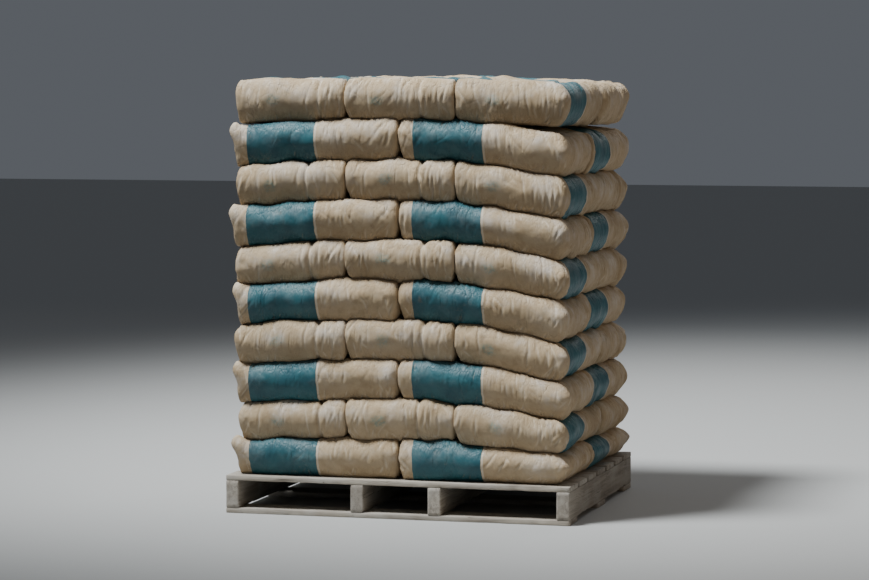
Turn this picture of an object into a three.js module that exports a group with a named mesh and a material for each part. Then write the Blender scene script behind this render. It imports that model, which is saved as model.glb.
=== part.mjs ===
// A wooden stringer pallet loaded with ten layers of filled paper sacks, five sacks to a layer.
// Millimetres. +X runs right along the front, +Y goes to the back and +Z is up.
// The origin is on the floor under the middle of the pallet.
import * as THREE from 'three';

// Pallet. The stringers run from front to back and the boards run across them.
const PALLET_WIDTH = 1200;
const PALLET_DEPTH = 1000;
const PALLET_HEIGHT = 130;
const BOARD_THICKNESS = 18;
const STRINGER_WIDTH = 45;
const INNER_STRINGER_X = 135;
const BOTTOM_BOARD_WIDTH = 120;
const LEAD_BOARD_WIDTH = 125;
const MIDDLE_BOARD_COUNT = 5;
const MIDDLE_BOARD_WIDTH = 110;
// The middle boards are one solid. This much wood is left where a gap is cut into both its faces.
const GAP_WEB = 1;

// Stack. Odd layers have two sacks along X in front of three sacks along Y, and even layers the reverse.
const LAYER_COUNT = 10;
const LAYER_PITCH = 134.8;
const SACK_LENGTH = 576;
const SACK_WIDTH = 384;
const STACK_DEPTH = SACK_LENGTH + SACK_WIDTH;
const STACK_RIGHT = 579;
const ODD_STACK_LEFT = -575;
const EVEN_STACK_LEFT = -561;
// How far each free side of a sack may stand in or out of line.
const STAGGER = 6;
// Clear space between a sack and what it rests on, and between a sack and the one beside it.
const REST_GAP = 0.3;
const SIDE_GAP = 0.8;

// The layers sag towards the sides of the stack: [position, sag] in the middle of its height.
const SAG_ALONG_X = [[-600, 36], [-400, 12], [-200, 0], [150, 0], [330, 20], [480, 46], [600, 80]];
const SAG_ALONG_Y = [[-500, 4], [-330, 0], [330, 2], [500, 14]];
// The sag grows over this many layers above the flat deck, and fades to a share of it at the top.
const SAG_GROWTH_LAYERS = 1.2;
const TOP_SAG_SHARE = 0.25;
// How far a sack swells past the layer pitch to follow a layer below that sags away from it.
const SWELL = 10;

// Rounding of a sack's long edges: how far in from the side it starts, and how far it drops.
const EDGES = {
	inner: { reach: 22, drop: 14 },
	front: { reach: 36, drop: 24 },
	back: { reach: 56, drop: 30 },
	left: { reach: 46, drop: 30 },
	right: { reach: 76, drop: 34 },
};
// The rounding as steps: the share of the reach still to go, and the share of the drop made.
const ROUNDING = [{ reach: 0.3, drop: 0.25 }, { reach: 0, drop: 1 }];
// How far the upright corners of a sack are drawn in.
const CORNER_PULL = 14;

const woodMaterial = new THREE.MeshStandardMaterial({ color: '#8f887c', roughness: 0.9, metalness: 0 });
const sackMaterial = new THREE.MeshStandardMaterial({ color: '#b29c7c', roughness: 0.85, metalness: 0 });

const object = new THREE.Group();

// Adds one named piece at a place of its own.
function addPiece(name, geometry, material, x, y, z) {
	const piece = new THREE.Mesh(geometry, material.clone());
	piece.name = name;
	piece.position.set(x, y, z);
	object.add(piece);
}

// A board or stringer is sawn square.
function addPlank(name, width, depth, height, x, y, zBottom) {
	const geometry = new THREE.BoxGeometry(width, depth, height);
	addPiece(name, geometry, woodMaterial, x, y, zBottom + height / 2);
}

// Stringers
function addStringers() {
	const height = PALLET_HEIGHT - 2 * BOARD_THICKNESS;
	const outerX = (PALLET_WIDTH - STRINGER_WIDTH) / 2;
	const places = [
		['stringer_left', -outerX],
		['stringer_inner_left', -INNER_STRINGER_X],
		['stringer_inner_right', INNER_STRINGER_X],
		['stringer_right', outerX],
	];
	for (const [name, x] of places) {
		addPlank(name, STRINGER_WIDTH, PALLET_DEPTH, height, x, 0, BOARD_THICKNESS);
	}
}

// Bottom boards
function addBottomBoards() {
	const endY = (PALLET_DEPTH - BOTTOM_BOARD_WIDTH) / 2;
	const places = [
		['bottom_board_front', -endY],
		['bottom_board_middle', 0],
		['bottom_board_back', endY],
	];
	for (const [name, y] of places) {
		addPlank(name, PALLET_WIDTH, BOTTOM_BOARD_WIDTH, BOARD_THICKNESS, 0, y, 0);
	}
}

// Deck boards at the front and the back
function addLeadBoards() {
	const endY = (PALLET_DEPTH - LEAD_BOARD_WIDTH) / 2;
	const zBottom = PALLET_HEIGHT - BOARD_THICKNESS;
	addPlank('deck_board_front', PALLET_WIDTH, LEAD_BOARD_WIDTH, BOARD_THICKNESS, 0, -endY, zBottom);
	addPlank('deck_board_back', PALLET_WIDTH, LEAD_BOARD_WIDTH, BOARD_THICKNESS, 0, endY, zBottom);
}

// The middle deck boards share one solid, with the gaps between them cut into its top and bottom.
function addMiddleBoards() {
	const open = PALLET_DEPTH - 2 * LEAD_BOARD_WIDTH - MIDDLE_BOARD_COUNT * MIDDLE_BOARD_WIDTH;
	const gap = open / (MIDDLE_BOARD_COUNT + 1);
	const pitch = MIDDLE_BOARD_WIDTH + gap;
	const firstY = -pitch * (MIDDLE_BOARD_COUNT - 1) / 2 - MIDDLE_BOARD_WIDTH / 2;
	const high = BOARD_THICKNESS / 2;
	const low = GAP_WEB / 2;
	const upper = [];
	for (let i = 0; i < MIDDLE_BOARD_COUNT; i++) {
		const near = firstY + i * pitch;
		const far = near + MIDDLE_BOARD_WIDTH;
		upper.push([near, high], [far, high]);
		if (i < MIDDLE_BOARD_COUNT - 1) {
			upper.push([far, low], [near + pitch, low]);
		}
	}
	const lower = upper.map(([y, z]) => [y, -z]).reverse();
	const outline = [...upper, ...lower].map(([y, z]) => new THREE.Vector2(y, z));
	const geometry = new THREE.ExtrudeGeometry(new THREE.Shape(outline), {
		depth: PALLET_WIDTH,
		bevelEnabled: false,
	});
	// The outline was drawn across the boards, so it is turned to run along X.
	const along = new THREE.Vector3(1, 0, 0);
	const across = new THREE.Vector3(0, 1, 0);
	const up = new THREE.Vector3(0, 0, 1);
	geometry.applyMatrix4(new THREE.Matrix4().makeBasis(across, up, along));
	geometry.translate(-PALLET_WIDTH / 2, 0, 0);
	addPiece('deck_boards_middle', geometry, woodMaterial, 0, 0, PALLET_HEIGHT - high);
}

// Value at a position on a line of [position, value] points
function valueAt(points, position) {
	for (let i = 1; i < points.length; i++) {
		const [before, low] = points[i - 1];
		const [after, high] = points[i];
		if (position <= after) {
			return low + (high - low) * (position - before) / (after - before);
		}
	}
	return points[points.length - 1][1];
}

// Share of the full sag at the top of a layer. Layer 0 is the deck, which is flat.
function sagShare(layer) {
	const growth = 1 - Math.exp(-layer / SAG_GROWTH_LAYERS);
	const fade = 1 - (1 - TOP_SAG_SHARE) * Math.exp(layer - LAYER_COUNT);
	return growth * fade;
}

// Height at which a layer ends and the next one begins
function layerTop(layer, x, y) {
	const sag = valueAt(SAG_ALONG_X, x) + valueAt(SAG_ALONG_Y, y);
	return PALLET_HEIGHT + layer * LAYER_PITCH - sagShare(layer) * sag;
}

// A sack swells only so far, so a gap opens where the layer below sags further away from it.
function layerBottom(layer, x, y) {
	return Math.max(layerTop(layer - 1, x, y), layerTop(layer, x, y) - LAYER_PITCH - SWELL);
}

// Same small number between -1 and 1 every time for one side of one sack
function stagger(layer, place, side) {
	const wave = Math.sin(layer * 12.9898 + place * 78.233 + side * 37.719) * 43758.5453;
	return STAGGER * (2 * (wave - Math.floor(wave)) - 1);
}

// Lines across a sack: where its rounding starts at both sides, and where the sag changes between them
function gridLines(points, start, end) {
	const between = points.map(([position]) => position).filter((p) => p > start + 1 && p < end - 1);
	return [start, ...between, end];
}

// The points round a grid's edge, anticlockwise from above, as [column, row, x way out, y way out].
// A corner of the grid has three of them, so the sack is round there.
function gridRim(lastColumn, lastRow) {
	const rim = [];
	for (let i = 0; i <= lastColumn; i++) {
		rim.push([i, 0, 0, -1]);
	}
	rim.push([lastColumn, 0, 1, -1]);
	for (let j = 0; j <= lastRow; j++) {
		rim.push([lastColumn, j, 1, 0]);
	}
	rim.push([lastColumn, lastRow, 1, 1]);
	for (let i = lastColumn; i >= 0; i--) {
		rim.push([i, lastRow, 0, 1]);
	}
	rim.push([0, lastRow, -1, 1]);
	for (let j = lastRow; j >= 0; j--) {
		rim.push([0, j, -1, 0]);
	}
	rim.push([0, 0, -1, -1]);
	return rim;
}

// A filled sack: flat on what it rests on and under what it carries, and rounded at its edges
function sackGeometry(sack) {
	const { layer, x0, x1, y0, y1, left, right, front, back } = sack;
	const xs = gridLines(SAG_ALONG_X, x0 + left.reach, x1 - right.reach);
	const ys = gridLines(SAG_ALONG_Y, y0 + front.reach, y1 - back.reach);
	const lastColumn = xs.length - 1;
	const lastRow = ys.length - 1;
	const rim = gridRim(lastColumn, lastRow);
	const vertices = [];
	const triangles = [];

	// One point on the top (sign 1) or the bottom (sign -1), and its number
	function addPoint(x, y, drop, sign) {
		const surface = sign > 0 ? layerTop(layer, x, y) : layerBottom(layer, x, y);
		vertices.push(x, y, surface - sign * (REST_GAP / 2 + drop));
		return vertices.length / 3 - 1;
	}

	// The flat part of the top or the bottom, and the point numbers round its rim
	function addFace(sign) {
		const numbers = ys.map((y) => xs.map((x) => addPoint(x, y, 0, sign)));
		for (let j = 0; j < lastRow; j++) {
			for (let i = 0; i < lastColumn; i++) {
				const near = numbers[j];
				const far = numbers[j + 1];
				const corners = [near[i], near[i + 1], far[i + 1], far[i]];
				if (sign < 0) {
					corners.reverse();
				}
				const [a, b, c, d] = corners;
				triangles.push(a, b, c, a, c, d);
			}
		}
		return rim.map(([i, j]) => numbers[j][i]);
	}

	// One ring of points round the sack, at one step of its rounding
	function addRing(step, sign) {
		return rim.map(([i, j, wayX, wayY]) => {
			const sideX = wayX < 0 ? left : right;
			const sideY = wayY < 0 ? front : back;
			const pull = wayX !== 0 && wayY !== 0 ? CORNER_PULL * step.drop : 0;
			const x = xs[i] + wayX * (sideX.reach * (1 - step.reach) - pull);
			const y = ys[j] + wayY * (sideY.reach * (1 - step.reach) - pull);
			const drop = Math.max(Math.abs(wayX) * sideX.drop, Math.abs(wayY) * sideY.drop);
			return addPoint(x, y, drop * step.drop, sign);
		});
	}

	const topRim = addFace(1);
	const topRings = ROUNDING.map((step) => addRing(step, 1));
	const bottomRings = ROUNDING.map((step) => addRing(step, -1));
	const bottomRim = addFace(-1);
	const rings = [topRim, ...topRings, ...bottomRings.reverse(), bottomRim];
	for (let r = 0; r < rings.length - 1; r++) {
		const upper = rings[r];
		const lower = rings[r + 1];
		for (let n = 0; n < rim.length; n++) {
			const next = (n + 1) % rim.length;
			if (lower[n] !== lower[next]) {
				triangles.push(lower[n], lower[next], upper[next]);
			}
			if (upper[n] !== upper[next]) {
				triangles.push(lower[n], upper[next], upper[n]);
			}
		}
	}

	const geometry = new THREE.BufferGeometry();
	geometry.setAttribute('position', new THREE.Float32BufferAttribute(vertices, 3));
	geometry.setIndex(triangles);
	geometry.computeVertexNormals();
	return geometry;
}

// One row of sacks side by side, at the front or the back of a layer
function addSackRow(layer, row, count, depth) {
	const columnNames = count === 2 ? ['left', 'right'] : ['left', 'middle', 'right'];
	const stackLeft = layer % 2 === 1 ? ODD_STACK_LEFT : EVEN_STACK_LEFT;
	const width = (STACK_RIGHT - stackLeft) / count;
	const atFront = row === 'front';
	const rowStart = atFront ? -STACK_DEPTH / 2 : STACK_DEPTH / 2 - depth;
	columnNames.forEach((columnName, column) => {
		const place = column + (atFront ? 0 : 5);
		const isFirst = column === 0;
		const isLast = column === count - 1;
		const start = stackLeft + column * width;
		const end = start + width;
		const sack = {
			layer,
			x0: isFirst ? start + stagger(layer, place, 1) : start + SIDE_GAP / 2,
			x1: isLast ? end + stagger(layer, place, 2) : end - SIDE_GAP / 2,
			y0: atFront ? rowStart + stagger(layer, place, 3) : rowStart + SIDE_GAP / 2,
			y1: atFront ? rowStart + depth - SIDE_GAP / 2 : rowStart + depth + stagger(layer, place, 4),
			left: isFirst ? EDGES.left : EDGES.inner,
			right: isLast ? EDGES.right : EDGES.inner,
			front: atFront ? EDGES.front : EDGES.inner,
			back: atFront ? EDGES.inner : EDGES.back,
		};
		const number = String(layer).padStart(2, '0');
		addPiece(`sack_${number}_${row}_${columnName}`, sackGeometry(sack), sackMaterial, 0, 0, 0);
	});
}

// Sacks
function addSacks() {
	for (let layer = 1; layer <= LAYER_COUNT; layer++) {
		const lengthwiseInFront = layer % 2 === 1;
		if (lengthwiseInFront) {
			addSackRow(layer, 'front', 2, SACK_WIDTH);
			addSackRow(layer, 'back', 3, SACK_LENGTH);
		} else {
			addSackRow(layer, 'front', 3, SACK_LENGTH);
			addSackRow(layer, 'back', 2, SACK_WIDTH);
		}
	}
}

addStringers();
addBottomBoards();
addLeadBoards();
addMiddleBoards();
addSacks();

export default object;
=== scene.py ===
"""A wooden pallet loaded with ten layers of filled kraft paper sacks.

Metres, in the part's own frame: +X right along the front, +Y to the back, +Z up.
"""

import math

import bpy
import numpy as np
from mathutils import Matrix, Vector


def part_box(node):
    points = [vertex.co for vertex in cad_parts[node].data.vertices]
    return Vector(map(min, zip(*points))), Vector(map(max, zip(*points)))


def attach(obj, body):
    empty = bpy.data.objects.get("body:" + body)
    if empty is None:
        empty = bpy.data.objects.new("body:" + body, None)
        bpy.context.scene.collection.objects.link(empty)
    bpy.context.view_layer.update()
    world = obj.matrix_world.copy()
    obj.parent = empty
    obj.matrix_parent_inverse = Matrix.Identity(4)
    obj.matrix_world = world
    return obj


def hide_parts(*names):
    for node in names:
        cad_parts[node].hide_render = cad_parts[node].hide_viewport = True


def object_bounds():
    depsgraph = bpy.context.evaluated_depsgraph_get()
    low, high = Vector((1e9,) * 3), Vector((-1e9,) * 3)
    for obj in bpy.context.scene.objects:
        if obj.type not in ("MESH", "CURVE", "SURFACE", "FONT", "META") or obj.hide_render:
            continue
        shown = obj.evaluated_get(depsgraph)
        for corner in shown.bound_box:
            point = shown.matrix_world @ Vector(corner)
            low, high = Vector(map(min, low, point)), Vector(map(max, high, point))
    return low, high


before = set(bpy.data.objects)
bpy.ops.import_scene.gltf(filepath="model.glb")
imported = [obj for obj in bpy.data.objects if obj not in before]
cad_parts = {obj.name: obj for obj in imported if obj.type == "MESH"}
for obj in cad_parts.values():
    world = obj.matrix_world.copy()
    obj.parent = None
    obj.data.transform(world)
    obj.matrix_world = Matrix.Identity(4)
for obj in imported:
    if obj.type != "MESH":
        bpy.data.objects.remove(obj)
cad_low, cad_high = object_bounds()

# The load, as the solids have it
LAYER_COUNT = 10
LAYER_PITCH = 0.1348
DECK_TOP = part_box("deck_board_front")[1][2]
SAG_ALONG_X = [(-0.6, 0.036), (-0.4, 0.012), (-0.2, 0), (0.15, 0), (0.33, 0.02), (0.48, 0.046), (0.6, 0.08)]
SAG_ALONG_Y = [(-0.5, 0.004), (-0.33, 0), (0.33, 0.002), (0.5, 0.014)]
SAG_GROWTH_LAYERS = 1.2
TOP_SAG_SHARE = 0.25
SWELL = 0.010
REST_GAP = 0.0003
# The paper bends smoothly where the sag changes slope: it is averaged over this width.
SAG_SMOOTHING = 0.10
# Unevenness of the face between two layers and of the load's top, and its wavelength
LAYER_UNEVENNESS = 0.0044
TOP_UNEVENNESS = 0.0035
UNEVENNESS_LENGTH = 0.15
SIDES = ("front", "right", "back", "left")

# Printed band of a sack, measured from the end that carries it
BAND_START = 0.052
BAND_WIDTH = 0.240
# How much nearer to that end it is on sacks at the back that lie front to back, and how far it may slip
BACK_BAND_SHIFT = 0.022
BAND_SLIP = 0.005
BAND_BLUR = 0.001

# Mesh of the sacks: spacing on each kind of side, and number of rows up the side
STEP = {"front": 0.0040, "right": 0.0040, "left": 0.0058, "back": 0.0058, "inner": 0.036}
TOP_LAYER_INNER_STEP = 0.009
SIDE_ROWS = 28
# Hidden tops and bottoms: rings like the rim, then rings at these shares of the rest, each half as fine
CAP_RINGS = 2
CAP_RING_STEP = 0.008
CAP_SHARES = (0.16, 0.36, 0.62, 0.9)

# How far in from each side the rounding of the long edges starts
REACH = {"inner": 0.014, "front": 0.035, "back": 0.038, "left": 0.007, "right": 0.044}
# Radius of the upright corners at half height, on sacks that lie along X and on others, and at the rims
LONG_CORNER_RADIUS = 0.029
END_CORNER_RADIUS = 0.014
RIM_CORNER_RADIUS = 0.010
# How squarely the rounding turns above and below: 2 is an ellipse and more is boxier.
UPPER_POWER = 2.6
LOWER_POWER = 1.8
# Depth and half height of the rounding by which its rows are spaced
PROFILE_DEPTH = 0.032
PROFILE_HALF_HEIGHT = 0.066
# How far each kind of side stands out, most at this share of half the height and less above and below
BULGE = {"inner": 0.008, "front": 0.011, "back": 0.009, "left": 0.002, "right": 0.008}
BULGE_HEIGHT = 0.28
BULGE_SPREAD = 0.60
# Width over which one side's bulge passes into the next one's
BULGE_BLEND = 0.040

# First seed of each kind of random draw, to which the number of the sack or the layer is added
SEEDS = {"simulation": 0, "unevenness": 900, "dents": 50, "creases": 8000, "folds": 1000, "ears": 3000,
         "top folds": 5000, "top dents": 5100, "print": 7000, "nails": 77}


# Shape of the load

def smooth_line(points, x):
    """The value of a line of points at x, averaged over the smoothing width."""
    px, py = np.array(points, float).T
    shifts = np.linspace(-0.5, 0.5, 9) * SAG_SMOOTHING
    return np.mean([np.interp(x + shift, px, py) for shift in shifts], axis=0)


def smooth_step(x):
    """0 below x = 0 and 1 above x = 1, with a smooth rise between."""
    x = np.clip(x, 0, 1)
    return x * x * (3 - 2 * x)


def hump(x, width, power=2):
    """1 at x = 0, falling off to both sides of it: 0.37 is left at the width."""
    return np.exp(-np.abs(x / width) ** power)


def taper(x):
    """1 at x = 0, falling smoothly to 0 at x = 1 and x = -1."""
    return np.clip(1 - x ** 2, 0, 1) ** 1.5


def unit(vectors):
    return vectors / np.maximum(np.linalg.norm(vectors, axis=-1, keepdims=True), 1e-9)


def sums(values):
    """The sum of the values before each one, and of all."""
    return np.concatenate([[0], np.cumsum(values)])


def random_draws(kind, number):
    return np.random.default_rng(SEEDS[kind] + number)


def soft_field(points, seed, length, count=14):
    """A seeded soft random field of about that wavelength, around 0 and mostly between -1 and 1."""
    rng = np.random.default_rng(seed)
    ways = unit(rng.normal(size=(count, points.shape[-1])))
    ways *= 2 * math.pi / (length * rng.uniform(0.7, 1.5, size=(count, 1)))
    phases = rng.uniform(0, 2 * math.pi, count)
    return np.sin(points @ ways.T + phases).sum(axis=-1) / math.sqrt(count / 2) / 1.6


def sag_share(layer):
    """Share of the full sag at the top of a layer. Layer 0 is the deck, which is flat."""
    growth = 1 - math.exp(-layer / SAG_GROWTH_LAYERS)
    fade = 1 - (1 - TOP_SAG_SHARE) * math.exp(layer - LAYER_COUNT)
    return growth * fade


def layer_top(layer, x, y):
    sag = smooth_line(SAG_ALONG_X, x) + smooth_line(SAG_ALONG_Y, y)
    z = DECK_TOP + layer * LAYER_PITCH - sag_share(layer) * sag
    if layer == 0:
        return z
    size = TOP_UNEVENNESS if layer == LAYER_COUNT else LAYER_UNEVENNESS
    plan = np.stack([x, y], axis=-1)
    return z + size * soft_field(plan, SEEDS["unevenness"] + layer, UNEVENNESS_LENGTH)


def face_height(layer, x, y, sign):
    """Height of a sack's top (sign 1) or bottom (sign -1), each half the gap away from its neighbours."""
    if sign > 0:
        return layer_top(layer, x, y) - REST_GAP / 2
    low = np.maximum(layer_top(layer - 1, x, y), layer_top(layer, x, y) - LAYER_PITCH - SWELL)
    return low + REST_GAP / 2


def list_sacks():
    """Every sack: its place, how it lies, and for each side the load's side that it is on, or inner."""
    sacks = []
    two, three = ("left", "right"), ("left", "middle", "right")
    for layer in range(1, LAYER_COUNT + 1):
        odd = layer % 2 == 1
        rows = (("front", two if odd else three, odd), ("back", three if odd else two, not odd))
        for row, columns, along_x in rows:
            for column in columns:
                node = f"sack_{layer:02d}_{row}_{column}"
                (x0, y0, _), (x1, y1, _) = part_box(node)
                sack = {"node": node, "layer": layer, "row": row, "column": column, "along_x": along_x,
                        "x0": x0, "x1": x1, "y0": y0, "y1": y1, "seed": len(sacks) + 1}
                sack.update({side: side if side in (row, column) else "inner" for side in SIDES})
                sacks.append(sack)
    return sacks


# Plain surface of a sack

def side_counts(sack):
    """Mesh columns along the front, right, back and left side.

    Those of a hidden top can be halved again and again. Opposite sides of a top that shows have equal ones.
    """
    lengths = [sack["x1"] - sack["x0"], sack["y1"] - sack["y0"]] * 2
    steps = [STEP[sack[side]] for side in SIDES]
    if sack["layer"] == LAYER_COUNT:
        steps = [min(step, TOP_LAYER_INNER_STEP) for step in steps]
        steps = [min(steps[0], steps[2]), min(steps[1], steps[3])] * 2
    multiple = 2 ** len(CAP_SHARES)
    return [max(multiple, round(length / step / multiple) * multiple)
            for length, step in zip(lengths, steps)]


def outline(sack, inset, counts):
    """Points round the sack in plan, anticlockwise from the middle of the front left corner.

    inset is the share of each side's reach that the points are in from it.
    """
    reach = {side: REACH[sack[side]] * inset for side in SIDES}
    full_radius = LONG_CORNER_RADIUS if sack["along_x"] else END_CORNER_RADIUS
    radius = full_radius + (RIM_CORNER_RADIUS - full_radius) * inset
    x0, x1 = sack["x0"] + reach["left"] + radius, sack["x1"] - reach["right"] - radius
    y0, y1 = sack["y0"] + reach["front"] + radius, sack["y1"] - reach["back"] - radius
    corners = [(x0, y0), (x1, y0), (x1, y1), (x0, y1)]
    arc = radius * math.pi / 4
    points = []
    for side, count in enumerate(counts):
        (ax, ay), (bx, by) = corners[side], corners[(side + 1) % 4]
        straight = math.hypot(bx - ax, by - ay)
        way = (2 * arc + straight) * np.arange(count) / count
        share = np.clip((way - arc) / straight, 0, 1)
        before = np.clip(1 - way / arc, 0, 1)
        after = np.clip((way - arc - straight) / arc, 0, 1)
        turn = np.radians(-90 + 90 * side + 45 * (after - before))
        x = ax + (bx - ax) * share + radius * np.cos(turn)
        y = ay + (by - ay) * share + radius * np.sin(turn)
        points.append(np.column_stack([x, y]))
    return np.concatenate(points)


def side_profile(rows):
    """Inset share, height share and way down of each row from the top rim to the bottom rim."""
    angle = np.linspace(math.pi / 2, -math.pi / 2, 400)
    power = np.where(angle > 0, UPPER_POWER, LOWER_POWER)
    inset = 1 - np.abs(np.cos(angle)) ** (2 / power)
    height = np.sign(angle) * np.abs(np.sin(angle)) ** (2 / power)
    way = sums(np.hypot(np.diff(inset) * PROFILE_DEPTH, np.diff(height) * PROFILE_HALF_HEIGHT))
    even = np.linspace(0, way[-1], rows + 1)
    return np.interp(even, way, inset), np.interp(even, way, height), even


def side_frame(grid):
    """Outward normals and ways along the rings of a grid of rings that run anticlockwise and go down."""
    along = np.roll(grid, -1, axis=1) - np.roll(grid, 1, axis=1)
    return unit(np.cross(np.gradient(grid, axis=0), along)), unit(along)


def side_places(counts):
    """Place of each column round the sack, from 0 to 4: the whole part counts the sides."""
    return np.concatenate([side + np.arange(count) / count for side, count in enumerate(counts)])


def around(s, at, perimeter):
    """How far places are past another one on the way round, by the shorter way. Before it is negative."""
    return (s - at + perimeter / 2) % perimeter - perimeter / 2


# Faces and objects

def turned(faces, flip=True):
    return [face[::-1] for face in faces] if flip else faces


def ring_numbers(row, columns):
    return list(range(row * columns, (row + 1) * columns))


def side_faces(rows, columns):
    """Faces of a grid of rings that run anticlockwise and go down."""
    r, c = np.meshgrid(np.arange(rows - 1), np.arange(columns), indexing="ij")
    n = (c + 1) % columns
    order = ((r + 1) * columns + c, (r + 1) * columns + n, r * columns + n, r * columns + c)
    return np.stack([part.ravel() for part in order], axis=1).tolist()


def four_sides(loop, counts):
    """The sides of a loop that starts at the front left, each with both ends and running right or back."""
    starts = sums(counts)
    sides = [np.take(loop, range(starts[k], starts[k + 1] + 1), axis=0, mode="wrap") for k in range(4)]
    return sides[0], sides[1], sides[2][::-1], sides[3][::-1]


def lattice_cap(loop, counts, height):
    """Inner points of a grid that fills a loop of points whose opposite sides have equal counts."""
    front, right, back, left = four_sides(loop, counts)
    u = (np.arange(1, counts[0]) / counts[0])[None, :, None]
    v = (np.arange(1, counts[1]) / counts[1])[:, None, None]
    plan = (1 - v) * front[None, 1:-1, :2] + v * back[None, 1:-1, :2]
    plan = plan + (1 - u) * left[1:-1, None, :2] + u * right[1:-1, None, :2]
    corners = (1 - u) * (1 - v) * front[0, :2] + u * (1 - v) * front[-1, :2]
    corners = corners + (1 - u) * v * back[0, :2] + u * v * back[-1, :2]
    plan = plan - corners
    return np.dstack([plan, height(plan[..., 0], plan[..., 1])])


def lattice_faces(loop, counts, first, flip):
    """Faces of the grid that fills a loop of point numbers. Its inner points are numbered from first."""
    nx, ny = counts[0], counts[1]
    number = np.zeros((ny + 1, nx + 1), int)
    number[1:-1, 1:-1] = first + np.arange((ny - 1) * (nx - 1)).reshape(ny - 1, nx - 1)
    number[0, :], number[:, -1], number[-1, :], number[:, 0] = four_sides(loop, counts)
    order = (number[:-1, :-1], number[:-1, 1:], number[1:, 1:], number[1:, :-1])
    return turned(np.stack([part.ravel() for part in order], axis=1).tolist(), flip)


def stitch(outer, inner, flip):
    """Faces between two rings of point numbers. The inner one may have half as many."""
    n, m = len(outer), len(inner)
    if m == n:
        faces = [(outer[i], outer[(i + 1) % n], inner[(i + 1) % n], inner[i]) for i in range(n)]
    else:
        faces = []
        for i in range(m):
            a, b, c = outer[2 * i], outer[2 * i + 1], outer[(2 * i + 2) % n]
            d, e = inner[i], inner[(i + 1) % m]
            faces += [(a, b, d), (b, e, d), (b, c, e)]
    return turned(faces, flip)


def close_rim(rim, rings, first, flip):
    """Points, numbered from first, and faces that close a rim with rings and a point in the middle."""
    faces, outer, total = [], rim, first
    for ring in rings:
        inner = list(range(total, total + len(ring)))
        faces += stitch(outer, inner, flip)
        outer, total = inner, total + len(ring)
    fan = [(outer[i], outer[(i + 1) % len(outer)], total) for i in range(len(outer))]
    return np.concatenate(rings + [rings[-1].mean(axis=0)[None]]), faces + turned(fan, flip)


def add_object(name, data):
    piece = bpy.data.objects.new(name, data)
    bpy.context.scene.collection.objects.link(piece)
    return piece


def add_mesh(name, points, faces, material=None, smooth=False):
    mesh = bpy.data.meshes.new(name)
    mesh.from_pydata(points, [], faces)
    if smooth:
        mesh.shade_smooth()
    if material:
        mesh.materials.append(material)
    return add_object(name, mesh)


def add_attribute(piece, name, values):
    """Gives each point a number or a vector that the material reads."""
    values = np.asarray(values, np.float32)
    kind, key = ("FLOAT", "value") if values.ndim == 1 else ("FLOAT_VECTOR", "vector")
    piece.data.attributes.new(name, kind, "POINT").data.foreach_set(key, values.ravel())


# Cloth simulation of a few sacks. Their dents and folds are passed on to all fifty.

SIM_SIZE = (0.576, 0.384)
SIM_STEP = 0.0090
SIM_ROWS = 20
SIM_FRAMES = 20
# The paper starts at this share of the height between the plates.
SIM_START_HEIGHT = 0.985
# Wavelength and size of the unevenness that it starts with
SIM_DENTS = ((0.10, 0.0035), (0.035, 0.0012))
SIM_SETTINGS = (
    # seed, pressure, growth of the paper, bending stiffness, free top
    (11, 3.0, 0.020, 6.0, False),
    (12, 2.0, 0.030, 20.0, False),
    (13, 3.0, 0.040, 3.0, False),
    (14, 2.5, 0.022, 10.0, True),
)
CLOTH = {"quality": 6, "mass": 0.3, "air_damping": 3, "use_pressure": True, "tension_stiffness": 60,
         "compression_stiffness": 60, "shear_stiffness": 30, "tension_damping": 10,
         "compression_damping": 10, "shear_damping": 10, "bending_damping": 1}
FREE_TOP_GRAVITY = 0.15
PLATE_HALF_LENGTH = 0.45
PLATE_HALF_WIDTH = 0.35
PLATE_THICKNESS = 0.02
# How far the simulation may move a point out of its place, and how much of that a full sack shows
SIM_CAP = 0.009
SIM_SHARE = 0.65
SIM_RISE_SHARE = 0.6
# How far a free top may dip and rise
TOP_DIP, TOP_CROWN = 0.010, 0.008


def press_plate(way):
    """A flat plate above (way 1) or below (way -1) the simulated sack."""
    low, high = sorted((way * LAYER_PITCH / 2, way * (LAYER_PITCH / 2 + PLATE_THICKNESS)))
    corners = [(sx * PLATE_HALF_LENGTH, sy * PLATE_HALF_WIDTH, z)
               for z in (low, high) for sx, sy in ((-1, -1), (1, -1), (1, 1), (-1, 1))]
    faces = [(3, 2, 1, 0), (4, 5, 6, 7), (0, 1, 5, 4), (1, 2, 6, 5), (2, 3, 7, 6), (3, 0, 4, 7)]
    plate = add_mesh("press_plate", corners, faces)
    plate.modifiers.new("collision", "COLLISION")
    plate.collision.thickness_outer = 0.001
    plate.collision.thickness_inner = 0.005
    plate.collision.cloth_friction = 8
    return plate


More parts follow.
